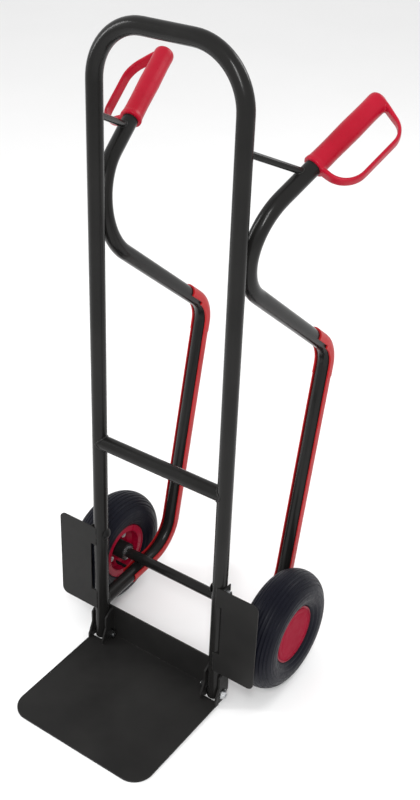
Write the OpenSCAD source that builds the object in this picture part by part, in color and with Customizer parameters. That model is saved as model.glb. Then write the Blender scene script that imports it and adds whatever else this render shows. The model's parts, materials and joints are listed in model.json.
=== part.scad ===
// Hand truck with a folding toe plate, skid runners and pneumatic wheels.
// Millimetres, +Z up, -Y is the load side. The truck stands at rest, leaning slightly back.

/* [Stance] */
// Lean of the two legs back from upright, in degrees
lean = 3.24; // [2:0.02:5]
// Outer radius of the tyres
wheel_r = 130; // [125:1:135]
// Height of the hinge bolts above the floor, along the legs
hinge_z = 20; // [20:0.5:22]

/* [Frame] */
// Half the distance between the centre lines of the legs
leg_x = 150; // [145:1:155]
// Height of the top bar's centre line, along the legs
top_z = 1312; // [1250:1:1350]
// Centre line radius of the two top bends
top_bend_r = 100; // [80:1:120]
// Height of the crossbar's centre line, along the legs
crossbar_z = 509; // [400:1:600]
// Outer diameter of every frame tube
tube_d = 30; // [29:0.5:30]
// Wall thickness of the frame tubes
tube_wall = 2; // [1.5:0.25:3]
// Height of the cut end of each leg, along the legs
leg_end_z = 8; // [8:0.5:10]

/* [Side tubes] */
// Centre line radius of the bend behind the leg
elbow_r = 111; // [111:0.5:114]
// Centre line radius of the bend at the top of the runner
runner_top_r = 62; // [50:1:80]
// Centre line radius of the bend at the foot of the runner
runner_low_r = 85; // [60:1:100]
// Diameter of the stay rods
stay_d = 12; // [8:0.5:14]

/* [Grips] */
// Outer diameter of the gripping surface
grip_d = 38; // [36:0.5:42]
// Length of each grip along its tube
grip_len = 168; // [150:1:175]
// Width of the knuckle guard band, across its plane
guard_band_w = 20; // [12:1:24]
// Thickness of the knuckle guard band
guard_band_t = 7; // [5.5:0.5:9]

/* [Skids] */
// Wall thickness of the skid channel
skid_wall = 2.4; // [1.5:0.1:4]
// Height of the skid's lips past the middle of the tube
skid_lip = 9.4; // [4:0.2:12]

/* [Wheels and axle] */
// Half the distance between the centre planes of the wheels
wheel_x = 221.8; // [221:0.2:224]
// Width of the tyre
tyre_w = 85; // [80:1:85]
// Outer diameter of the axle sleeve
sleeve_d = 23; // [22:0.5:23]
// Diameter of the axle
axle_d = 20; // [16:1:20]
// Grooves across the tread
groove_count = 10; // [6:2:12]
// Depth of the tread grooves
groove_depth = 1.6; // [1:0.1:2.5]

/* [Wheel guards] */
// Distance of the guard's outer edge from the middle plane
guard_edge_x = 249; // [235:1:255]
// Height of the guard's lower edge, along the legs
guard_low_z = 87.5; // [86:0.5:100]
// Height of the guard's upper edge, along the legs
guard_top_z = 302; // [290:1:320]
// Thickness of the guard sheet
guard_t = 2.5; // [2:0.25:4]

/* [Toe plate] */
// Width of the toe plate
toe_w = 340; // [336:1:341]
// Distance of the toe plate's front edge from the foot of the legs
toe_front = 276; // [220:1:300]
// Thickness of the toe plate
toe_t = 4; // [3:0.25:4]
// Radius of the toe plate's front corners
toe_corner_r = 42; // [20:1:60]
// Height of the upright back panel, along the legs
panel_top_z = 82; // [60:1:82]

/* [Hidden] */
$fn = 48;
frame_colour = [0.16, 0.16, 0.16];
red = [0.70, 0.12, 0.18];
crimson = [0.62, 0.07, 0.18];
rubber = [0.10, 0.10, 0.13];
zinc = [0.75, 0.76, 0.78];

tube_r = tube_d / 2;
bore_r = tube_r - tube_wall;
running_gap = 0.05;
side_gap = 0.3;

// Where the side tube meets the leg, and how its runner rises, leans sideways and splays behind it.
foot_x = 150.8;
foot_z = 99.7;
foot_rise = 5;
runner_cant = 0.4;
runner_splay = 0.49;

// Turns of the three bends, and the roll between the plane of the runner and that of the elbow.
low_turn = 74.5119;
top_turn = 62.8292;
elbow_turn = 111.5954;
elbow_roll = 167.9855;

// Lengths from corner to corner of the tube's centre line, as if the bends were sharp.
foot_span = 236;
runner_span = 569.5;
slope_span = 499;
handle_span = 406;

function setback(r, angle) = r * tan(angle / 2);

function tenth(length) = round(length * 10) / 10;

// Each step is a straight's length, then a bend: its radius, its angle, and the roll before it.
foot_step = [tenth(foot_span - setback(runner_low_r, low_turn)), runner_low_r, low_turn, 0];
runner_step = [tenth(runner_span - setback(runner_low_r, low_turn) - setback(runner_top_r, top_turn)),
    runner_top_r, top_turn, 0];
slope_step = [tenth(slope_span - setback(runner_top_r, top_turn) - setback(elbow_r, elbow_turn)),
    elbow_r, elbow_turn, elbow_roll];
handle_step = [tenth(handle_span - setback(elbow_r, elbow_turn)), 0, 0, 0];
side_steps = [foot_step, runner_step, slope_step, handle_step];

// Wheel centre: on the floor frame, then in the legs' own frame.
wheel_y = 136;
axle_pos = [cos(lean) * wheel_y - sin(lean) * wheel_r, sin(lean) * wheel_y + cos(lean) * wheel_r];

// Stands the legs' own frame on the floor.
module stand() rotate([-lean, 0, 0]) children();

module mirrored(side) mirror([side < 0 ? 1 : 0, 0, 0]) children();

module both_sides() for (side = [-1, 1]) mirrored(side) children();

// Moves children to the end of one step. Travel is along +Z, and +X is the outside of the bends.
module after_step(s) translate([0, 0, s[0]]) rotate([0, 0, s[3]])
    translate([-s[1], 0, 0]) rotate([0, -s[2], 0]) translate([s[1], 0, 0]) children();

function after_first(steps) = [for (i = [1 : 1 : len(steps) - 1]) steps[i]];

// Moves children to the end of a list of steps.
module travel(steps) if (len(steps) == 0) children();
else after_step(steps[0]) travel(after_first(steps)) children();

// Everything in front of the outline's plane, as far as a bend can reach.
module beyond() translate([-200, -200, 0]) cube([400, 400, 200]);

// A bend of the child outline, from the plane z = 0 round to that plane turned about Y.
module bend(r, turn) difference() {
    rotate([90, 90, 0]) rotate_extrude() translate([r, 0]) children();
    mirror([0, 0, 1]) beyond();
    rotate([0, -turn, 0]) beyond();
}

// Sweeps the child outline along a list of steps.
module run(steps) if (len(steps) > 0) {
    s = steps[0];
    linear_extrude(s[0]) children();
    if (s[1] > 0) translate([0, 0, s[0]]) rotate([0, 0, s[3]]) translate([-s[1], 0, 0])
        bend(s[1], s[2]) children();
    after_step(s) run(after_first(steps)) children();
}

// The start of the side tube, on the leg's axis, heading backwards with +X down.
module at_foot() translate([foot_x, 0, foot_z]) rotate([foot_rise - 90, -runner_cant, -runner_splay])
    rotate([0, 0, 90]) children();

// The grip end of the side tube, heading out of it.
module at_handle_end() at_foot() travel(side_steps) children();

module tube_outline(outer_r, inner_r) difference() {
    circle(outer_r);
    circle(inner_r);
}

module leg_solid(side = 1) translate([side * leg_x, 0, 0]) cylinder(r = tube_r, h = top_z);

// A cylinder along X, from x0 to x1, at this place in the legs' own frame.
module bar_x(x0, x1, r, y, z) translate([x0, y, z]) rotate([0, 90, 0]) cylinder(r = r, h = x1 - x0);

// ---- Frame ----

leg_step = [top_z - leg_end_z - top_bend_r, top_bend_r, 90, 0];
top_bar_step = [2 * (leg_x - top_bend_r), top_bend_r, 90, 0];

module main_frame() color(frame_colour) stand() difference() {
    translate([leg_x, 0, leg_end_z])
        run([leg_step, top_bar_step, [leg_step[0], 0, 0, 0]]) tube_outline(tube_r, bore_r);
    both_sides() {
        bar_x(leg_x - tube_d, leg_x + tube_d, hinge_bolt_r, 0, hinge_z);
        bar_x(leg_x - tube_d, leg_x + tube_d, guard_bolt_r, 0, guard_bolt_z);
    }
}

module crossbar() color(frame_colour) stand() difference() {
    bar_x(-leg_x, leg_x, tube_r, 0, crossbar_z);
    bar_x(-leg_x, leg_x, bore_r, 0, crossbar_z);
    leg_solid(-1);
    leg_solid(1);
}

module side_tube(side) color(frame_colour) stand() mirrored(side) difference() {
    at_foot() run(side_steps) tube_outline(tube_r, bore_r);
    leg_solid();
}

// A stay rod from the side tube, just below the grip, back to the leg.
stay_below_grip = 14;
stay_polar = 126.7;
stay_azimuth = -13.6;
stay_len = 152;

module handle_solid() at_handle_end() mirror([0, 0, 1]) cylinder(r = tube_r, h = handle_step[0]);

module stay_rod(side) color(frame_colour) stand() mirrored(side) difference() {
    at_handle_end() translate([0, 0, -grip_len - stay_below_grip])
        rotate([0, stay_polar, stay_azimuth]) cylinder(d = stay_d, h = stay_len);
    leg_solid();
    handle_solid();
}

plug_depth = 6;

module leg_plug(side) color(rubber) stand() mirrored(side)
    translate([leg_x, 0, leg_end_z]) cylinder(r = bore_r, h = plug_depth);

// ---- Grips: a sleeve with a beaded mouth and a knuckle guard on the outer side ----

mouth_r = grip_d / 2 + 1.5;
mouth_len = 8;
end_cap_t = 6;
guard_tilt = 12;
far_arc_r = 20;

// The guard's rounded corners: along the grip from its mouth, out from its axis, and the outer radius.
guard_corners = [[22, 8, 22], [43, 31, 44], [120, 32, 43.5],
    [grip_len + end_cap_t - far_arc_r, 8, far_arc_r]];

// How far the opening's corners sit from those, along and out.
opening_shift = [[2, 0], [1, 2.5], [-3, 3], [-9, 0]];

module guard_outer() hull() for (corner = guard_corners)
    translate([corner[0], corner[1]]) circle(corner[2]);

module guard_opening() hull() for (i = [0 : 3])
    translate([guard_corners[i][0], guard_corners[i][1]] + opening_shift[i])
        circle(guard_corners[i][2] - guard_band_t);

module grip(side) color(red) stand() mirrored(side)
    at_handle_end() translate([0, 0, -grip_len]) rotate([0, 0, guard_tilt]) difference() {
        union() {
            cylinder(d = grip_d, h = grip_len + end_cap_t);
            cylinder(r = mouth_r, h = mouth_len);
            rotate([0, -90, 0]) translate([0, 0, -guard_band_w / 2])
                linear_extrude(guard_band_w) difference() {
                    guard_outer();
                    guard_opening();
                }
        }
        translate([0, 0, -mouth_len]) cylinder(r = tube_r, h = grip_len + mouth_len);
    }

// ---- Skids: a channel round the back of each runner, with a thicker cap over the top bend ----

skid_clear_of_leg = 96;
cap_wall = skid_wall + 1;
cap_lip = 3;
cap_len = 42;
cap_overlap = 20;

// A U outline open towards -X: half a ring, and two straight lips.
module skid_outline(wall, lip) {
    intersection() {
        tube_outline(tube_r + wall, tube_r + running_gap);
        translate([0, -tube_d]) square([tube_d, 2 * tube_d]);
    }
    for (y = [tube_r + running_gap, -tube_r - wall])
        translate([-lip, y]) square([lip, wall - running_gap]);
}

module skid(side) color(red) stand() mirrored(side) at_foot() {
    translate([0, 0, skid_clear_of_leg])
        run([[foot_step[0] - skid_clear_of_leg, foot_step[1], foot_step[2], 0],
            [runner_step[0] - cap_overlap, 0, 0, 0]]) skid_outline(skid_wall, skid_lip);
    travel([foot_step]) translate([0, 0, runner_step[0] - cap_overlap])
        run([[cap_overlap, runner_top_r, top_turn, 0]]) skid_outline(cap_wall, skid_lip);
    travel([foot_step, runner_step]) linear_extrude(cap_len) skid_outline(cap_wall, cap_lip);
}

// ---- Axle, washers and lock rings ----

sleeve_end = 181;
hub_inner_x = 184;
hub_outer_x = 242;
washer_t = 2;
lock_ring_t = 2.5;
axle_end = 248;

module on_axle() stand() translate([0, axle_pos[0], axle_pos[1]]) children();

module ring_x(x0, x1, r, hole_r) difference() {
    bar_x(x0, x1, r, 0, 0);
    bar_x(x0 - 1, x1 + 1, hole_r, 0, 0);
}

module axle_sleeve() color(frame_colour) on_axle() ring_x(-sleeve_end, sleeve_end, sleeve_d / 2, axle_d / 2);

module axle() color(zinc) on_axle() bar_x(-axle_end, axle_end, axle_d / 2, 0, 0);

module axle_washers_inner() color(zinc) on_axle() both_sides()
    ring_x(sleeve_end, hub_inner_x - side_gap, 16, axle_d / 2);

module axle_washers_outer() color(zinc) on_axle() both_sides()
    ring_x(hub_outer_x + side_gap, hub_outer_x + side_gap + washer_t, 16, axle_d / 2);

module axle_lock_rings() color(zinc) on_axle() both_sides()
    ring_x(hub_outer_x + side_gap + washer_t, hub_outer_x + side_gap + washer_t + lock_ring_t, 14, axle_d / 2);

// ---- Wheel guards: a plate flush with the front of the leg, on two tabs, with a bolted flange ----

guard_inner_x = leg_x + 16;
guard_corner_r = 14;
guard_bolt_z = 287;
guard_bolt_r = 4;
slot_low_z = 136;
slot_top_z = 258;
flange_back = 12;

module guard_outline() difference() {
    union() {
        translate([leg_x, guard_low_z])
            square([guard_edge_x - guard_corner_r - leg_x, guard_top_z - guard_low_z]);
        translate([leg_x, guard_low_z + guard_corner_r])
            square([guard_edge_x - leg_x, guard_top_z - guard_low_z - 2 * guard_corner_r]);
        for (z = [guard_low_z + guard_corner_r, guard_top_z - guard_corner_r])
            translate([guard_edge_x - guard_corner_r, z]) circle(guard_corner_r);
    }
    translate([leg_x - 1, slot_low_z]) square([guard_inner_x - leg_x + 1, slot_top_z - slot_low_z]);
}

module wheel_guard(side) color(frame_colour) stand() mirrored(side) difference() {
    union() {
        translate([0, guard_t - tube_r, 0]) rotate([90, 0, 0]) linear_extrude(guard_t) guard_outline();
        translate([leg_x + tube_r, -tube_r, slot_top_z])
            cube([guard_t, tube_r + flange_back, guard_top_z - slot_top_z]);
    }
    leg_solid();
    bar_x(leg_x, leg_x + tube_d, guard_bolt_r, 0, guard_bolt_z);
}

dome_r = 12;
dome_h = 6;

// A domed bolt head: a slice of a ball, with its flat side at z = 0.
module dome(r, h) {
    ball_r = (r * r + h * h) / (2 * h);
    intersection() {
        translate([0, 0, h - ball_r]) sphere(ball_r);
        cylinder(r = r, h = h);
    }
}

module guard_bolts() color(rubber) stand() both_sides() union() {
    bar_x(leg_x - tube_r, leg_x + tube_r + guard_t + 9, guard_bolt_r, 0, guard_bolt_z);
    translate([leg_x - tube_r, 0, guard_bolt_z]) rotate([0, -90, 0]) dome(dome_r, dome_h);
}

module hex_nut(width, height, hole_r) difference() {
    cylinder(d = width / cos(30), h = height, $fn = 6);
    translate([0, 0, -1]) cylinder(r = hole_r, h = height + 2);
}

module guard_nuts() color(zinc) stand() both_sides()
    translate([leg_x + tube_r + guard_t, 0, guard_bolt_z]) rotate([0, 90, 0]) hex_nut(13, 7, guard_bolt_r);

// ---- Toe plate hinge ----

hinge_bolt_r = 5;
ear_t = 4;
ear_gap = 1.5;
ear_out_x = leg_x + tube_r + ear_gap;
ear_in_x = leg_x - tube_r - ear_gap;
head_washer_x = ear_out_x + ear_t + side_gap;
back_washer_x = ear_in_x - ear_t - side_gap;
hinge_nut_h = 8;
bolt_tip = 2;
hinge_head_r = 10.5;
hinge_head_h = 6;
socket_w = 6;
socket_depth = 3;
socket_floor_x = head_washer_x + washer_t + hinge_head_h - socket_depth;

module at_hinge() stand() translate([0, 0, hinge_z]) children();

module hinge_bolts() color(zinc) at_hinge() both_sides() difference() {
    union() {
        bar_x(back_washer_x - washer_t - hinge_nut_h - bolt_tip, head_washer_x + washer_t, hinge_bolt_r, 0, 0);
        translate([head_washer_x + washer_t, 0, 0]) rotate([0, 90, 0]) dome(hinge_head_r, hinge_head_h);
    }
    translate([socket_floor_x, 0, 0]) rotate([0, 90, 0])
        cylinder(d = socket_w / cos(30), h = 2 * socket_depth, $fn = 6);
}

module hinge_head_washers() color(zinc) at_hinge() both_sides()
    ring_x(head_washer_x, head_washer_x + washer_t, 11, hinge_bolt_r);

module hinge_spacers() color(rubber) at_hinge() both_sides() {
    ring_x(leg_x + tube_r, ear_out_x - side_gap, 11, hinge_bolt_r);
    ring_x(ear_in_x + side_gap, leg_x - tube_r, 11, hinge_bolt_r);
}

module hinge_back_washers() color(rubber) at_hinge() both_sides()
    ring_x(back_washer_x - washer_t, back_washer_x, 11.5, hinge_bolt_r);

module hinge_nuts() color(rubber) at_hinge() both_sides()
    translate([back_washer_x - washer_t, 0, 0]) rotate([0, -90, 0]) hex_nut(17, hinge_nut_h, hinge_bolt_r);

// ---- Toe plate: a flat plate, folded up between and behind the legs, with four ears ----

panel_front = tube_r + side_gap;
panel_back = panel_front + toe_t;
panel_wing_z = 35;
notch_front = 12.5;
ear_front = -12;
ear_front_top = 68;
ear_slope_back = 6;
ear_round_r = 17;
ear_foot_front = -24;
ear_foot_z = 2;
ear_foot_top = 12;
ear_foot_back = 0.5;
ear_heel_z = 12;
ear_heel_y = 8;

// Side outline of an ear: y to the right, z up, in the legs' own frame.
module ear_outline() difference() {
    union() {
        translate([ear_front, hinge_z]) square([panel_back - ear_front, ear_front_top - hinge_z]);
        translate([0, hinge_z]) circle(ear_round_r);
        translate([ear_foot_front, ear_foot_z]) square([-ear_foot_front, ear_foot_top - ear_foot_z]);
        polygon([[ear_foot_front, ear_foot_top], [ear_front, ear_foot_top], [ear_front, 2 * hinge_z]]);
        polygon([[ear_front, ear_front_top], [panel_back, ear_front_top], [panel_back, panel_top_z],
            [ear_slope_back, panel_top_z]]);
    }
    translate([0, hinge_z]) circle(hinge_bolt_r + running_gap);
}

module ear(x0) translate([x0, 0, 0]) rotate([90, 0, 90]) linear_extrude(ear_t) ear_outline();

module toe_plate_outline() {
    half = toe_w / 2;
    side_y = toe_front - toe_corner_r;
    translate([-half, -side_y]) square([toe_w, side_y + ear_foot_front]);
    translate([-ear_out_x, ear_foot_front - 1]) square([2 * ear_out_x, 1 - ear_foot_front - notch_front]);
    translate([toe_corner_r - half, -toe_front]) square([toe_w - 2 * toe_corner_r, toe_corner_r]);
    for (side = [-1, 1]) translate([side * (half - toe_corner_r), -side_y]) circle(toe_corner_r);
    translate([-ear_in_x, -notch_front]) square([2 * ear_in_x, notch_front + panel_front + 1]);
}

module toe_plate() color(frame_colour) {
    linear_extrude(toe_t) toe_plate_outline();
    stand() {
        translate([-ear_in_x, panel_front, toe_t / 2])
            cube([2 * ear_in_x, toe_t, panel_top_z - toe_t / 2]);
        translate([-ear_out_x, panel_front, panel_wing_z])
            cube([2 * ear_out_x, toe_t, panel_top_z - panel_wing_z]);
        both_sides() {
            ear(ear_in_x - ear_t);
            translate([ear_in_x - ear_t, 0, toe_t / 2]) cube([ear_t, panel_back, ear_heel_z - toe_t / 2]);
            translate([ear_in_x - ear_t, ear_heel_y, toe_t / 2])
                cube([ear_t, panel_back - ear_heel_y, hinge_z - toe_t / 2]);
        }
    }
}

// An outer ear, with a foot let into a notch in the edge of the toe plate.
module hinge_ear(side) color(frame_colour) {
    stand() mirrored(side) ear(ear_out_x);
    mirrored(side) translate([ear_out_x, ear_foot_front + ear_foot_back, 0])
        cube([ear_t, -ear_foot_front - ear_foot_back - notch_front, toe_t]);
}

// ---- Wheels, built about +Z with the outer side up, then set on the axle ----

section_r = tyre_w / 2;
section_h = 40;
section_mid_r = wheel_r - section_h;
bead_r = 51;
flange_r = 62.5;
flange_z = 28;
rim_t = 2;
rim_lip = 1.5;
dish_z = 12;
dish_taper = 1.5;
web_r = 40;
hub_flange_t = 4;
bolt_circle_r = 31;
rim_bolt_r = 4;
bearing_r = 16;
bearing_w = 14;
hub_r = 20;
hub_low = hub_inner_x - wheel_x;
hub_top = hub_outer_x - wheel_x;

module wheel_place(side) mirrored(side) on_axle() translate([wheel_x, 0, 0]) rotate([0, 90, 0]) children();

// A point on the tyre's round section: angle from the middle of the tread, and how far inside the surface.
function section(angle, inside, inside_z = 0) =
    [section_mid_r + (section_h - inside) * cos(angle), (section_r - inside - inside_z) * sin(angle)];

groove_pitch = 11.5;
groove_half = 2.6;
groove_floor_half = 1.8;
section_end = 130;

function groove(angle) = [section(angle - groove_half, 0), section(angle - groove_floor_half, groove_depth),
    section(angle + groove_floor_half, groove_depth), section(angle + groove_half, 0),
    section(angle + groove_pitch / 2, 0)];

tread_end = groove_pitch * (groove_count / 2 + 0.5);

module tyre_outline() polygon(concat(
    [for (i = [0 : 6]) section(-section_end + (section_end - tread_end) * i / 6, 0)],
    [for (i = [0 : groove_count - 1]) each groove(groove_pitch * (i + 0.5 - groove_count / 2))],
    [for (i = [1 : 6]) section(tread_end + (section_end - tread_end) * i / 6, 0)],
    [[flange_r + 0.3, flange_z], [bead_r, flange_z], [bead_r, flange_z - 8]],
    [for (i = [0 : 24]) section(section_end - 2 * section_end * i / 24, 8, -1.5)],
    [[bead_r, 8 - flange_z], [bead_r, -flange_z], [flange_r + 0.3, -flange_z]]));

module tyre(side) color(rubber) wheel_place(side) rotate_extrude() tyre_outline();

module inner_tube(side) color(rubber) wheel_place(side)
    rotate_extrude() translate([section_mid_r, 0]) difference() {
        circle(29);
        circle(27);
    }

// One pressed rim half: web, dish, bead seat, and a flange with a curled lip, on the +Z side.
web_z = hub_flange_t / 2;
rim_face = flange_z + rim_t;

module rim_half() rotate_extrude() polygon([[hub_r, web_z], [web_r, web_z], [bead_r - rim_t, dish_z],
    [bead_r - 1, flange_z], [flange_r, flange_z], [flange_r, rim_face + rim_lip],
    [flange_r - rim_t, rim_face + rim_lip], [flange_r - rim_t, rim_face],
    [bead_r - rim_t - dish_taper, rim_face], [bead_r - 2 * rim_t, dish_z + rim_t / 4],
    [web_r - 1, web_z + rim_t], [hub_r, web_z + rim_t]]);

module bolt_ring() for (i = [0 : 3]) rotate([0, 0, 45 + 90 * i]) translate([bolt_circle_r, 0, 0]) children();

module rim_with_holes() difference() {
    rim_half();
    bolt_ring() cylinder(r = rim_bolt_r, h = 20);
}

module rim_inner(side) color(crimson) wheel_place(side) mirror([0, 0, 1]) difference() {
    rim_with_holes();
    translate([valve_r, 0, 0]) cylinder(r = 4, h = 40);
}

module rim_outer(side) color(crimson) wheel_place(side) rim_with_holes();

module hub(side) color(frame_colour) wheel_place(side) difference() {
    union() {
        translate([0, 0, hub_low]) cylinder(r = hub_r, h = hub_top - hub_low);
        translate([0, 0, -hub_flange_t / 2]) cylinder(r = web_r, h = hub_flange_t);
    }
    translate([0, 0, hub_low - 1]) cylinder(r = axle_d / 2 + 2, h = hub_top - hub_low + 2);
    for (z = [hub_low - 1, hub_top - bearing_w]) translate([0, 0, z]) cylinder(r = bearing_r, h = bearing_w + 1);
    bolt_ring() translate([0, 0, -5]) cylinder(r = rim_bolt_r, h = 10);
}

module bearing(side, z) color(zinc) wheel_place(side) translate([0, 0, z]) difference() {
    cylinder(r = bearing_r, h = bearing_w);
    translate([0, 0, -1]) cylinder(r = axle_d / 2 + running_gap, h = bearing_w + 2);
}

clamp_half = hub_flange_t / 2 + rim_t;

module rim_bolts(side) color(zinc) wheel_place(side) bolt_ring() {
    translate([0, 0, -clamp_half - 8]) cylinder(r = rim_bolt_r, h = 2 * clamp_half + 8);
    translate([0, 0, clamp_half]) cylinder(d = 13 / cos(30), h = 5, $fn = 6);
}

module rim_nuts(side) color(zinc) wheel_place(side)
    bolt_ring() translate([0, 0, -clamp_half]) mirror([0, 0, 1]) hex_nut(13, 6, rim_bolt_r);

cap_r = 58.5;
cap_edge = 1;
cap_t = 2.2;
cap_skirt_r = 46.5;
cap_skirt_t = 1.5;
cap_skirt_len = 8;

// A plain disc that rests on the rim's flange, with a skirt down into the dish.
module hub_cap(side) color(crimson) wheel_place(side) rotate_extrude() polygon([[0, rim_face],
    [cap_skirt_r - cap_skirt_t, rim_face], [cap_skirt_r - cap_skirt_t, rim_face - cap_skirt_len],
    [cap_skirt_r, rim_face - cap_skirt_len], [cap_skirt_r, rim_face], [cap_r, rim_face],
    [cap_r, rim_face + cap_t - cap_edge], [cap_r - cap_edge, rim_face + cap_t], [0, rim_face + cap_t]]);

valve_r = 43.5;

module valve(side) color(rubber) wheel_place(side) mirror([0, 0, 1]) translate([valve_r, 0, 4])
    cylinder(r = 3.9, h = 30);

main_frame();
crossbar();
side_tube(-1);  // side_tube_left
side_tube(1);  // side_tube_right
stay_rod(-1);  // stay_rod_left
stay_rod(1);  // stay_rod_right
grip(-1);  // grip_left
grip(1);  // grip_right
skid(-1);  // skid_left
skid(1);  // skid_right
leg_plug(-1);  // leg_plug_left
leg_plug(1);  // leg_plug_right
axle_sleeve();
axle();
axle_washers_inner();
axle_washers_outer();
axle_lock_rings();
wheel_guard(-1);  // wheel_guard_left
wheel_guard(1);  // wheel_guard_right
guard_bolts();
guard_nuts();
hinge_bolts();
hinge_head_washers();
hinge_spacers();
hinge_back_washers();
hinge_nuts();
toe_plate();
hinge_ear(-1);  // hinge_ear_left
hinge_ear(1);  // hinge_ear_right
tyre(-1);  // tyre_left
tyre(1);  // tyre_right
inner_tube(-1);  // inner_tube_left
inner_tube(1);  // inner_tube_right
rim_inner(-1);  // rim_inner_left
rim_inner(1);  // rim_inner_right
rim_outer(-1);  // rim_outer_left
rim_outer(1);  // rim_outer_right
hub(-1);  // hub_left
hub(1);  // hub_right
bearing(-1, hub_low);  // bearing_inner_left
bearing(1, hub_low);  // bearing_inner_right
bearing(-1, hub_top - bearing_w);  // bearing_outer_left
bearing(1, hub_top - bearing_w);  // bearing_outer_right
rim_bolts(-1);  // rim_bolts_left
rim_bolts(1);  // rim_bolts_right
rim_nuts(-1);  // rim_nuts_left
rim_nuts(1);  // rim_nuts_right
hub_cap(-1);  // hub_cap_left
hub_cap(1);  // hub_cap_right
valve(-1);  // valve_left
valve(1);  // valve_right
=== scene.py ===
import json
import math

import bmesh
import bpy
from mathutils import Matrix, Vector, noise


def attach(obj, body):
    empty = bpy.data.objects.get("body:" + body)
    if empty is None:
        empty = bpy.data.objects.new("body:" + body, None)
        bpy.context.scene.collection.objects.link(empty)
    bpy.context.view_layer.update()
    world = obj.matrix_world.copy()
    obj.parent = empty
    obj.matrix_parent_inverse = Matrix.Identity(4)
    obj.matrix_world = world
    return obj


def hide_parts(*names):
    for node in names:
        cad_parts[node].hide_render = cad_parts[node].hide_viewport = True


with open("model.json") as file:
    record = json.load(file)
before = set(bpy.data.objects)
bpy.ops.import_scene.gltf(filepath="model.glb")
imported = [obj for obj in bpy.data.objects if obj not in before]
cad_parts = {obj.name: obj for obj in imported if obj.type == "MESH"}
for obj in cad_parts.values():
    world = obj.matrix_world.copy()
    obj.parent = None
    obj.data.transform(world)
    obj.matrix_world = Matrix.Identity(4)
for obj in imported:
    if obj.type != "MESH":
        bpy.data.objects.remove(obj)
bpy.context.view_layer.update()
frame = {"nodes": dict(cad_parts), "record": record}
nodes = frame["nodes"]
scene = bpy.context.scene

MM = 0.001
LEAN = math.radians(3.24)
LEG_X, TUBE_R = 150.0, 15.0
CROSSBAR_Z = 509.0
GRIP_LEN = 168.0
WHEEL_X = 221.8
VALVE_R = 43.5
STAY_R = 6.0
SLEEVE_R = 11.5


# ---- Places, repeated from the CAD source: millimetres, legs upright ----

def turn(axis, degrees):
    return Matrix.Rotation(math.radians(degrees), 4, axis)


def shift(x, y, z):
    return Matrix.Translation((x, y, z))


STAND = Matrix.Rotation(-LEAN, 4, "X")
FOOT = shift(150.8, 0, 99.7) @ turn("Z", -0.49) @ turn("Y", -0.4) @ turn("X", -85) @ turn("Z", 90)


def setback(r, angle):
    return r * math.tan(math.radians(angle) / 2)


LOW, TOP, ELBOW = (85.0, 74.5119), (62.0, 62.8292), (111.0, 111.5954)
STEPS = [
    (round(236 - setback(*LOW), 1), LOW, 0),
    (round(569.5 - setback(*LOW) - setback(*TOP), 1), TOP, 0),
    (round(499 - setback(*TOP) - setback(*ELBOW), 1), ELBOW, 167.9855),
    (round(406 - setback(*ELBOW), 1), None, 0),
]


def after(step):
    length, bend, roll = step
    m = shift(0, 0, length) @ turn("Z", roll)
    if bend:
        m = m @ shift(-bend[0], 0, 0) @ turn("Y", -bend[1]) @ shift(bend[0], 0, 0)
    return m


def along(count):
    m = FOOT.copy()
    for step in STEPS[:count]:
        m = m @ after(step)
    return m


HANDLE_END = along(4)
AXLE_Y = math.cos(LEAN) * 136 - math.sin(LEAN) * 130
AXLE_Z = math.sin(LEAN) * 136 + math.cos(LEAN) * 130


def flip(side):
    return Matrix.Scale(-1, 4, (1, 0, 0)) if side < 0 else Matrix.Identity(4)


def placed(points, side):
    """Points of the right-hand side, legs upright in mm, stood on the floor in metres on either side."""
    m = flip(side) @ STAND
    return [(m @ Vector(p)) * MM for p in points]


# ---- Materials ----

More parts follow.
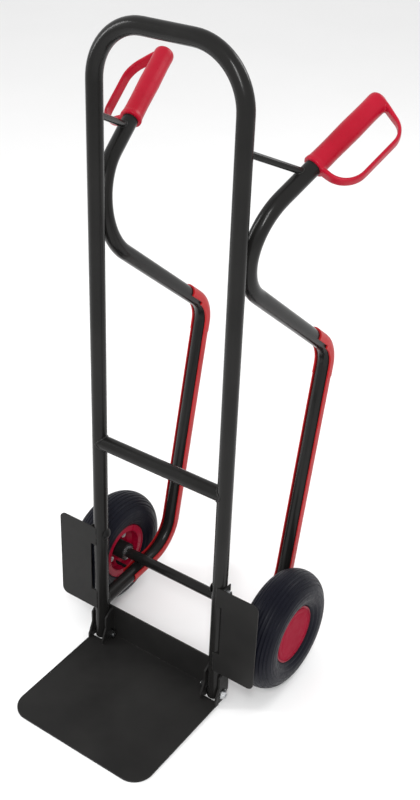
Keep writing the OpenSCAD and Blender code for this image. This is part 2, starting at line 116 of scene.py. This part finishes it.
class Nodes:
    def __init__(self, name):
        self.mat = bpy.data.materials.new(name)
        self.mat.use_nodes = True
        self.tree = self.mat.node_tree
        self.shader = self.tree.nodes["Principled BSDF"]
        coords = self.add("ShaderNodeTexCoord")
        self.at = coords.outputs["Object"]

    def add(self, kind, **settings):
        n = self.tree.nodes.new(kind)
        for key, value in settings.items():
            setattr(n, key, value)
        return n

    def link(self, a, b):
        self.tree.links.new(a, b)

    def noise(self, scale, detail=3.0, rough=0.5, stretch=None):
        n = self.add("ShaderNodeTexNoise")
        n.inputs["Scale"].default_value = scale
        n.inputs["Detail"].default_value = detail
        n.inputs["Roughness"].default_value = rough
        source = self.at
        if stretch:
            m = self.add("ShaderNodeMapping")
            m.inputs["Scale"].default_value = stretch
            self.link(source, m.inputs["Vector"])
            source = m.outputs["Vector"]
        self.link(source, n.inputs["Vector"])
        return n.outputs["Fac"]

    def ramp(self, fac, low, high, a, b):
        r = self.add("ShaderNodeMapRange")
        r.inputs["From Min"].default_value = low
        r.inputs["From Max"].default_value = high
        r.inputs["To Min"].default_value = a
        r.inputs["To Max"].default_value = b
        self.link(fac, r.inputs["Value"])
        return r.outputs["Result"]

    def mix(self, fac, a, b):
        m = self.add("ShaderNodeMix", data_type="RGBA")
        self.link(fac, m.inputs["Factor"])
        for value, socket in ((a, m.inputs[6]), (b, m.inputs[7])):
            if isinstance(value, tuple):
                socket.default_value = (*value, 1)
            else:
                self.link(value, socket)
        return m.outputs[2]

    def math(self, operation, a, b):
        m = self.add("ShaderNodeMath", operation=operation, use_clamp=True)
        for value, socket in ((a, m.inputs[0]), (b, m.inputs[1])):
            if isinstance(value, float):
                socket.default_value = value
            else:
                self.link(value, socket)
        return m.outputs[0]

    def bump(self, height, distance, strength=1.0, under=None):
        b = self.add("ShaderNodeBump")
        b.inputs["Distance"].default_value = distance
        b.inputs["Strength"].default_value = strength
        self.link(height, b.inputs["Height"])
        if under:
            self.link(under, b.inputs["Normal"])
        return b.outputs["Normal"]

    def soft_edges(self, radius):
        b = self.add("ShaderNodeBevel", samples=4)
        b.inputs["Radius"].default_value = radius
        return b.outputs["Normal"]

    def edges(self, radius):
        """1 along convex and concave edges, 0 on flat faces."""
        geometry = self.add("ShaderNodeNewGeometry")
        dot = self.add("ShaderNodeVectorMath", operation="DOT_PRODUCT")
        self.link(geometry.outputs["Normal"], dot.inputs[0])
        self.link(self.soft_edges(radius), dot.inputs[1])
        return self.ramp(dot.outputs["Value"], 0.985, 0.8, 0.0, 1.0)


def painted(name, colour, light, rough, coat=0.0, wear=None, peel=0.00006, gloss=0.12):
    m = Nodes(name)
    s = m.shader
    tone = m.mix(m.ramp(m.noise(7, 4), 0.35, 0.65, 0, 1), colour, light)
    if wear:
        scuffs = m.ramp(m.noise(160, 6, 0.7), 0.5, 0.62, 0, 1)
        worn = m.math("MULTIPLY", m.edges(0.0009), scuffs)
        tone = m.mix(m.math("MULTIPLY", worn, 0.75), tone, wear)
    m.link(tone, s.inputs["Base Color"])
    m.link(m.ramp(m.noise(55, 5), 0.3, 0.7, rough - 0.05, rough + 0.07), s.inputs["Roughness"])
    m.link(m.bump(m.noise(620, 2), peel, 0.7, m.soft_edges(0.0008)), s.inputs["Normal"])
    s.inputs["Specular IOR Level"].default_value = gloss
    s.inputs["Coat Weight"].default_value = coat
    s.inputs["Coat Roughness"].default_value = 0.16
    return m.mat


def moulded(name, colour, light, rough, gloss=0.16):
    m = Nodes(name)
    s = m.shader
    tone = m.mix(m.ramp(m.noise(11, 4), 0.35, 0.68, 0, 1), colour, light)
    pale = m.math("MULTIPLY", m.edges(0.0012), m.ramp(m.noise(90, 4), 0.35, 0.7, 0.1, 0.55))
    m.link(m.mix(pale, tone, tuple(min(1.0, c * 1.5 + 0.03) for c in light)), s.inputs["Base Color"])
    m.link(m.ramp(m.noise(70, 4), 0.3, 0.7, rough - 0.06, rough + 0.08), s.inputs["Roughness"])
    fine = m.bump(m.noise(1500, 2, 0.6), 0.00006, 0.6, m.soft_edges(0.0007))
    m.link(m.bump(m.noise(40, 2), 0.0003, 0.25, fine), s.inputs["Normal"])
    s.inputs["Specular IOR Level"].default_value = gloss
    return m.mat


def rubber(name, colour, dust, rough):
    m = Nodes(name)
    s = m.shader
    blotch = m.ramp(m.noise(22, 6, 0.65), 0.42, 0.75, 0, 0.5)
    m.link(m.mix(blotch, colour, dust), s.inputs["Base Color"])
    m.link(m.ramp(m.noise(130, 5), 0.3, 0.7, rough - 0.08, rough + 0.1), s.inputs["Roughness"])
    m.link(m.bump(m.noise(1100, 4, 0.7), 0.00012, 0.8), s.inputs["Normal"])
    s.inputs["Specular IOR Level"].default_value = 0.1
    return m.mat


def metal(name, colour, dull, rough):
    m = Nodes(name)
    s = m.shader
    m.link(m.mix(m.ramp(m.noise(90, 5), 0.4, 0.66, 0, 1), colour, dull), s.inputs["Base Color"])
    s.inputs["Metallic"].default_value = 1.0
    brushed = m.noise(900, 3, 0.6, stretch=(0.08, 1, 1))
    m.link(m.ramp(brushed, 0.3, 0.7, rough - 0.08, rough + 0.12), s.inputs["Roughness"])
    m.link(m.bump(brushed, 0.00003, 0.6, m.soft_edges(0.0005)), s.inputs["Normal"])
    return m.mat


ANTHRACITE = painted("anthracite_powder_coat", (0.0085, 0.0083, 0.0080), (0.0120, 0.0117, 0.0113), 0.2,
    coat=0.02, gloss=0.14, wear=(0.07, 0.068, 0.065))
PLATE = painted("anthracite_plate_coat", (0.0110, 0.0107, 0.0105), (0.0160, 0.0156, 0.0150), 0.42,
    wear=(0.08, 0.077, 0.074), peel=0.00009)
CRIMSON = painted("crimson_rim_coat", (0.255, 0.0015, 0.018), (0.300, 0.003, 0.025), 0.3, coat=0.12,
    wear=(0.38, 0.03, 0.06))
CAP = moulded("crimson_cap_plastic", (0.235, 0.001, 0.017), (0.270, 0.002, 0.023), 0.5, gloss=0.05)
GRIP = moulded("red_grip_plastic", (0.330, 0.003, 0.016), (0.385, 0.006, 0.023), 0.32)
SKID = moulded("red_skid_plastic", (0.330, 0.006, 0.008), (0.390, 0.010, 0.013), 0.36)
TYRE = rubber("tyre_rubber", (0.0040, 0.0044, 0.0088), (0.0085, 0.0090, 0.0140), 0.4)
TUBE = rubber("black_rubber", (0.006, 0.006, 0.007), (0.014, 0.013, 0.013), 0.55)
BLACK = moulded("black_plastic", (0.005, 0.005, 0.005), (0.010, 0.010, 0.010), 0.4)
HUB = painted("black_hub_coat", (0.007, 0.007, 0.007), (0.012, 0.012, 0.012), 0.4, wear=(0.12, 0.12, 0.12))
ZINC = metal("bright_zinc", (0.66, 0.67, 0.69), (0.46, 0.47, 0.47), 0.26)
WELD = painted("coated_weld", (0.012, 0.0116, 0.0112), (0.020, 0.0195, 0.019), 0.26, coat=0.12)

LOOK = {
    "frame_paint": ANTHRACITE, "grip_plastic": GRIP, "skid_plastic": SKID, "rim_paint": CRIMSON,
    "cap_plastic": CAP, "tyre_rubber": TYRE, "tube_rubber": TUBE, "hub_black": HUB,
    "black_plastic": BLACK, "black_hardware": HUB, "zinc": ZINC,
}
SHEET = ("toe_plate", "wheel_guard", "hinge_ear")
for part in frame["record"]["subparts"]:
    obj = nodes[part["node"]]
    look = LOOK[part["material_slot"]]
    if part["node"].startswith(SHEET):
        look = PLATE
    if not obj.material_slots:
        obj.data.materials.append(look)
    for place in obj.material_slots:
        place.material = look


# ---- Mesh helpers ----

def piece(name, points, faces, material, body):
    mesh = bpy.data.meshes.new(name)
    mesh.from_pydata([tuple(p) for p in points], [], faces)
    mesh.validate()
    mesh.materials.append(material)
    obj = bpy.data.objects.new(name, mesh)
    scene.collection.objects.link(obj)
    fix_normals(obj)
    mesh.polygons.foreach_set("use_smooth", [True] * len(mesh.polygons))
    if body:
        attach(obj, body)
    return obj


def fix_normals(obj):
    bm = bmesh.new()
    bm.from_mesh(obj.data)
    bmesh.ops.recalc_face_normals(bm, faces=bm.faces)
    bm.to_mesh(obj.data)
    bm.free()


def ring_faces(rings, around, closed_along=False):
    faces = []
    for i in range(rings if closed_along else rings - 1):
        a, b = i * around, ((i + 1) % rings) * around
        for j in range(around):
            k = (j + 1) % around
            faces.append((a + j, a + k, b + k, b + j))
    return faces


def spun(profile, around):
    """Points and faces of a closed (radius, height) outline turned about +Z."""
    points = []
    for r, z in profile:
        for j in range(around):
            t = 2 * math.pi * j / around
            points.append(Vector((r * math.cos(t), r * math.sin(t), z)))
    return points, ring_faces(len(profile), around, closed_along=True)


def capped(profile, around):
    """As spun, for an open outline that ends on the axis at both ends."""
    points = []
    for r, z in profile:
        for j in range(around):
            t = 2 * math.pi * j / around
            points.append(Vector((r * math.cos(t), r * math.sin(t), z)))
    faces = ring_faces(len(profile), around)
    faces.append(tuple(range(around)))
    faces.append(tuple(range((len(profile) - 1) * around, len(profile) * around)))
    return points, faces


def even(loop, count):
    """A closed polyline resampled at even spacing."""
    loop = loop + [loop[0]]
    lengths = [0.0]
    for a, b in zip(loop, loop[1:]):
        lengths.append(lengths[-1] + (b - a).length)
    out, k = [], 0
    for i in range(count):
        want = lengths[-1] * i / count
        while lengths[k + 1] < want:
            k += 1
        share = (want - lengths[k]) / max(lengths[k + 1] - lengths[k], 1e-9)
        out.append(loop[k].lerp(loop[k + 1], share))
    return out


# ---- Grips: a sleeve and a tapering knuckle guard in one blended moulding ----

ALONG_POWER, THROUGH_POWER = 0.55, 0.7
VOXEL = 0.0013


def guard_line(corners):
    """The outline round a set of (along, out, radius) corners."""
    out = []
    for i in range(360):
        t = 2 * math.pi * i / 360
        n = Vector((math.cos(t), math.sin(t)))
        a, b, r = max(corners, key=lambda c: Vector(c[:2]).dot(n) + c[2])
        out.append(Vector((a, b)) + r * n)
    return even(out, 170)


def blend(a, b, share):
    share = max(0.0, min(1.0, share))
    share = share * share * (3 - 2 * share)
    return a + (b - a) * share


def grip_mesh():
    outline = [(0.01, 0.4), (19.6, 0.4), (20.5, 1.3), (20.6, 6.0), (20.0, 8.2), (19.2, 11), (18.8, 22),
        (18.6, 45), (19.0, 70), (19.4, 92), (19.0, 118), (18.7, 138), (18.9, 152), (19.2, 160), (19.0, 166),
        (17.8, 170), (14.5, 172.8), (9, 173.8), (0.01, 174)]
    points, faces = capped(outline, 64)
    line = guard_line([(23, 8, 18.5), (43.5, 32.2, 40.2), (118.6, 33.2, 39.2), (149, 8, 20)])
    count = len(line)
    section = 20
    base = len(points)
    for i, p in enumerate(line):
        tangent = (line[(i + 1) % count] - line[i - 1]).normalized()
        out = Vector((tangent.y, -tangent.x))
        far = blend(0.0, 1.0, (p.x - 60) / 60)
        run = (p.y - 20) / 44
        wide = blend(blend(11.5, 11.0, far), 9.6, run)
        thick = blend(blend(4.3, 4.4, far), 3.3, run)
        for j in range(section):
            t = 2 * math.pi * j / section
            c, s = math.cos(t), math.sin(t)
            along_band = wide * math.copysign(abs(c) ** ALONG_POWER, c)
            through = thick * math.copysign(abs(s) ** THROUGH_POWER, s)
            q = p + out * through
            points.append(Vector((along_band, q.y, q.x)))
    faces += [tuple(base + k for k in f) for f in ring_faces(count, section, closed_along=True)]
    raw = piece("grip_raw", [p * MM for p in points], faces, GRIP, None)
    remesh = raw.modifiers.new("remesh", "REMESH")
    remesh.mode = "VOXEL"
    remesh.voxel_size = VOXEL
    smooth = raw.modifiers.new("smooth", "SMOOTH")
    smooth.factor = 0.5
    smooth.iterations = 9
    bpy.context.view_layer.update()
    graph = bpy.context.evaluated_depsgraph_get()
    mesh = bpy.data.meshes.new_from_object(raw.evaluated_get(graph))
    points = [v.co.copy() / MM for v in mesh.vertices]
    faces = [tuple(f.vertices) for f in mesh.polygons]
    bpy.data.objects.remove(raw)
    return points, faces


GRIP_POINTS, GRIP_FACES = grip_mesh()
GRIP_AT = HANDLE_END @ shift(0, 0, -GRIP_LEN) @ turn("Z", 12)
for side, word in ((-1, "left"), (1, "right")):
    points = placed([GRIP_AT @ p for p in GRIP_POINTS], side)
    obj = piece("grip_form_" + word, points, GRIP_FACES, GRIP, "frame")
    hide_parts("grip_" + word)


# ---- Wheels ----

def wheel_points(points, side):
    at = shift(WHEEL_X, AXLE_Y, AXLE_Z) @ turn("Y", 90)
    return placed([at @ p for p in points], side)


# Marks round each sidewall: degrees from the middle of the tread, width in degrees, and depth in mm.
SIDEWALL = ((74, 1.6, -0.7), (84, 1.6, -0.7), (97, 5, -0.5), (110, 1.6, -0.6), (119, 3, 0.9))
RIB_PITCH, TREAD_EDGE = 11.5, 63


def tyre_outline():
    """Outside of the section from one bead to the other, then back along the inside."""
    mid_r, high, half = 90.0, 40.0, 42.5
    out = []
    count = 300
    for i in range(count + 1):
        a = -128 + 256 * i / count
        drop = 0.0
        if abs(a) < TREAD_EDGE:
            near = abs((a / RIB_PITCH) - math.floor(a / RIB_PITCH) - 0.5) * 2
            drop = 1.7 * max(0.0, min(1.0, (near - 0.5) / 0.25))
        else:
            for place, width, height in SIDEWALL:
                drop += height * math.exp(-((abs(a) - place) / width) ** 2)
        t = math.radians(a)
        drop = max(drop, -0.3)
        out.append((mid_r + (high - drop) * math.cos(t), (half - drop) * math.sin(t)))
    out += [(62.6, 28.4), (62.3, 27.8), (52, 27.9), (51.1, 27), (51.1, 20)]
    for i in range(41):
        t = math.radians(130 - 260 * i / 40)
        out.append((mid_r + 32 * math.cos(t), 36 * math.sin(t)))
    out += [(51.1, -20), (51.1, -27), (52, -27.9), (62.3, -27.8), (62.6, -28.4)]
    return out


def cap_outline():
    top = 32.2
    return [(0.01, 30.3), (46.4, 30.3), (56.5, 30.05), (58.0, 30.2), (58.5, 30.8), (58.4, 31.3), (57.6, 31.8),
        (55.8, top - 0.1), (53, top), (50, top - 0.05), (49.2, top - 0.35), (48.2, top - 0.35),
        (47.4, top - 0.05), (44, top), (25, top - 0.02), (0.01, top)]


def stem_outline():
    return [(0.01, 4.2), (3.85, 4.2), (3.85, 14), (3.5, 18), (3.2, 22), (3.1, 24.5), (3.6, 25), (3.7, 25.6),
        (3.4, 26), (3.7, 26.8), (3.4, 27.4), (3.7, 28.2), (3.4, 28.8), (3.7, 29.6), (3.7, 32.5),
        (3.2, 33.7), (0.01, 33.9)]


for side, word in ((-1, "left"), (1, "right")):
    body = "wheel_" + word
    points, faces = spun(tyre_outline(), 168)
    tyre = piece("tyre_ribbed_" + word, wheel_points(points, side), faces, TYRE, body)
    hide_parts("tyre_" + word)
    points, faces = capped(cap_outline(), 128)
    cap = piece("wheel_cap_" + word, wheel_points(points, side), faces, CAP, body)
    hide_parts("hub_cap_" + word)
    points, faces = capped(stem_outline(), 32)
    points = [Vector((p.x + VALVE_R, p.y, -p.z)) for p in points]
    stem = piece("valve_stem_" + word, wheel_points(points, side), faces, TUBE, body)
    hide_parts("valve_" + word)


# ---- Weld beads ----

def meet(p, d, c, a, r):
    """Where the line p + s d first meets the cylinder of radius r about the line through c along a."""
    q = p - c
    q = q - a * q.dot(a)
    e = d - a * d.dot(a)
    qa, qb, qc = e.dot(e), 2 * q.dot(e), q.dot(q) - r * r
    root = qb * qb - 4 * qa * qc
    s = (-qb - math.sqrt(max(root, 0.0))) / (2 * qa)
    return p + d * s


def bead_mesh(line, radius, closed, seed):
    count, around = len(line), 10
    points = []
    for i, p in enumerate(line):
        ahead = line[(i + 1) % count] if closed or i < count - 1 else p
        behind = line[i - 1] if closed or i > 0 else p
        tangent = (ahead - behind).normalized()
        helper = Vector((0, 0, 1)) if abs(tangent.z) < 0.8 else Vector((0, 1, 0))
        u = tangent.cross(helper).normalized()
        v = tangent.cross(u)
        swell = 1 + 0.13 * math.sin(i * 1.25) + 0.16 * noise.noise(Vector((i * 0.31, seed, 0.5)))
        if not closed:
            end = min(i, count - 1 - i) / 4
            swell *= math.sqrt(min(1.0, 0.15 + end))
        for j in range(around):
            t = 2 * math.pi * j / around
            points.append(p + (u * math.cos(t) + v * math.sin(t)) * radius * swell)
    faces = ring_faces(count, around, closed_along=closed)
    if not closed:
        faces += [tuple(range(around)), tuple(range((count - 1) * around, count * around))]
    return points, faces


def collar(origin, direction, r, c, a, big_r, count=72):
    """The closed line where a round tube runs into a cylinder."""
    d = direction.normalized()
    u = d.orthogonal().normalized()
    v = d.cross(u)
    out = []
    for i in range(count):
        t = 2 * math.pi * i / count
        out.append(meet(origin + (u * math.cos(t) + v * math.sin(t)) * r, d, c, a, big_r))
    return out


def direction_of(m):
    return (m.to_3x3() @ Vector((0, 0, 1))).normalized()


UP = Vector((0, 0, 1))
LEG = Vector((LEG_X, 0, 0))
ON_TUBE = TUBE_R + 0.2
beads = []
beads.append((collar(Vector((0, 0, CROSSBAR_Z)), Vector((1, 0, 0)), TUBE_R, LEG, UP, ON_TUBE), 2.0, True))
foot_dir = direction_of(FOOT)
foot_at = FOOT @ Vector((0, 0, 80))
beads.append((collar(foot_at, -foot_dir, TUBE_R, LEG, UP, ON_TUBE), 2.2, True))

rod_top = HANDLE_END @ shift(0, 0, -GRIP_LEN - 14)
rod = rod_top @ turn("Z", -13.6) @ turn("Y", 126.7)
rod_dir = direction_of(rod)
rod_at = rod @ Vector((0, 0, 60))
beads.append((collar(rod_at, rod_dir, STAY_R, LEG, UP, ON_TUBE, 40), 1.5, True))
handle_dir = direction_of(HANDLE_END)
handle_at = HANDLE_END @ Vector((0, 0, 0))
beads.append((collar(rod_at, -rod_dir, STAY_R, handle_at, handle_dir, ON_TUBE, 40), 1.5, True))


def straight_bead(a, b, count=44):
    return [a.lerp(b, i / (count - 1)) for i in range(count)]


for low, top in ((90, 134), (260, 300)):
    x = LEG_X + 8.2
    beads.append((straight_bead(Vector((x, -13.2, low)), Vector((x, -13.2, top))), 1.6, False))

# The elbow touches the leg from behind, with a bead in the valley on either side.
ELBOW_IN = along(2) @ shift(0, 0, STEPS[2][0]) @ turn("Z", STEPS[2][2]) @ shift(-ELBOW[0], 0, 0)
apex = ELBOW_IN @ turn("Y", -ELBOW[1] / 2) @ Vector((ELBOW[0], 0, 0))
toward = Vector((LEG_X - apex.x, -apex.y, 0)).normalized()
across = UP.cross(toward)
touch = Vector((LEG_X, 0, apex.z)) - toward * TUBE_R
for sign in (-1, 1):
    line = []
    for i in range(30):
        t = (i / 29 - 0.5) * 2
        line.append(touch + across * sign * (4.6 - 1.6 * t * t) + UP * 17 * t - toward * 0.4)
    beads.append((line, 2.0, False))

# The axle sleeve crosses each runner, with a bead along the front and the back of the crossing.


def from_axle(p):
    return Vector((0, p.y - AXLE_Y, p.z - AXLE_Z))


runner_near = min((FOOT @ Vector((0, 0, k)) for k in range(200)), key=lambda p: from_axle(p).length)
down = from_axle(runner_near).normalized()
touch_sleeve = Vector((runner_near.x, AXLE_Y, AXLE_Z)) + down * SLEEVE_R
for sign in (-1, 1):
    line = []
    for i in range(26):
        t = (i / 25 - 0.5) * 2
        line.append(touch_sleeve + Vector((9 * t, 0, 0)) + foot_dir * sign * (4.4 - 1.2 * t * t) + down * 0.8)
    beads.append((line, 1.9, False))

for side, word in ((-1, "left"), (1, "right")):
    points, faces = [], []
    for k, (line, radius, closed) in enumerate(beads):
        p, f = bead_mesh(line, radius, closed, k + side)
        base = len(points)
        points += p
        faces += [tuple(base + n for n in face) for face in f]
    piece("weld_beads_" + word, placed(points, side), faces, WELD, "frame")


# ---- Floor, light and camera ----

def flat(name, corners, material):
    mesh = bpy.data.meshes.new(name)
    mesh.from_pydata(corners, [], [tuple(range(len(corners)))])
    mesh.materials.append(material)
    obj = bpy.data.objects.new(name, mesh)
    scene.collection.objects.link(obj)
    return obj


floor_look = Nodes("studio_floor")
floor_look.link(floor_look.mix(floor_look.noise(1.5, 3), (0.86, 0.86, 0.86), (0.90, 0.90, 0.90)),
    floor_look.shader.inputs["Base Color"])
floor_look.link(floor_look.ramp(floor_look.noise(12, 4), 0.3, 0.7, 0.75, 0.9),
    floor_look.shader.inputs["Roughness"])
corners = [(12 * x, 12 * y, -0.0005) for x, y in ((-1, -1), (1, -1), (1, 1), (-1, 1))]
flat("studio_floor", corners, floor_look.mat)

world = bpy.data.worlds.new("studio")
world.use_nodes = True
world.node_tree.nodes["Background"].inputs["Color"].default_value = (1, 1, 1, 1)
world.node_tree.nodes["Background"].inputs["Strength"].default_value = 0.9
scene.world = world


def lamp(name, place, aim, size, power):
    data = bpy.data.lights.new(name, "AREA")
    data.shape = "RECTANGLE"
    data.size, data.size_y = size
    data.energy = power
    obj = bpy.data.objects.new(name, data)
    obj.location = place
    obj.rotation_euler = (Vector(aim) - Vector(place)).to_track_quat("-Z", "Y").to_euler()
    scene.collection.objects.link(obj)


lamp("key", (1.6, -2.2, 2.9), (0, 0, 0.7), (0.4, 1.6), 75)
lamp("fill", (-2.6, -1.2, 1.9), (0, 0, 0.6), (0.4, 2.0), 40)
lamp("back", (0.8, 2.6, 2.4), (0, 0.1, 0.7), (1.2, 1.6), 30)

camera = bpy.data.cameras.new("camera")
camera.sensor_width = 36
camera.lens = 51.88
camera.shift_x = 0.0215
camera.shift_y = 0.0484
camera.clip_end = 60
eye = bpy.data.objects.new("camera", camera)
azimuth, elevation, roll = math.radians(36.40), math.radians(35.13), math.radians(-0.23)
level = math.cos(elevation)
forward = Vector((-math.sin(azimuth) * level, math.cos(azimuth) * level, -math.sin(elevation)))
aim = forward.to_track_quat("-Z", "Y").to_matrix().to_4x4()
eye.matrix_world = Matrix.Translation((1.0948, -1.3517, 1.8140)) @ aim @ Matrix.Rotation(roll, 4, "Z")
scene.collection.objects.link(eye)
scene.camera = eye
scene.view_settings.view_transform = "Standard"

bpy.context.view_layer.update()
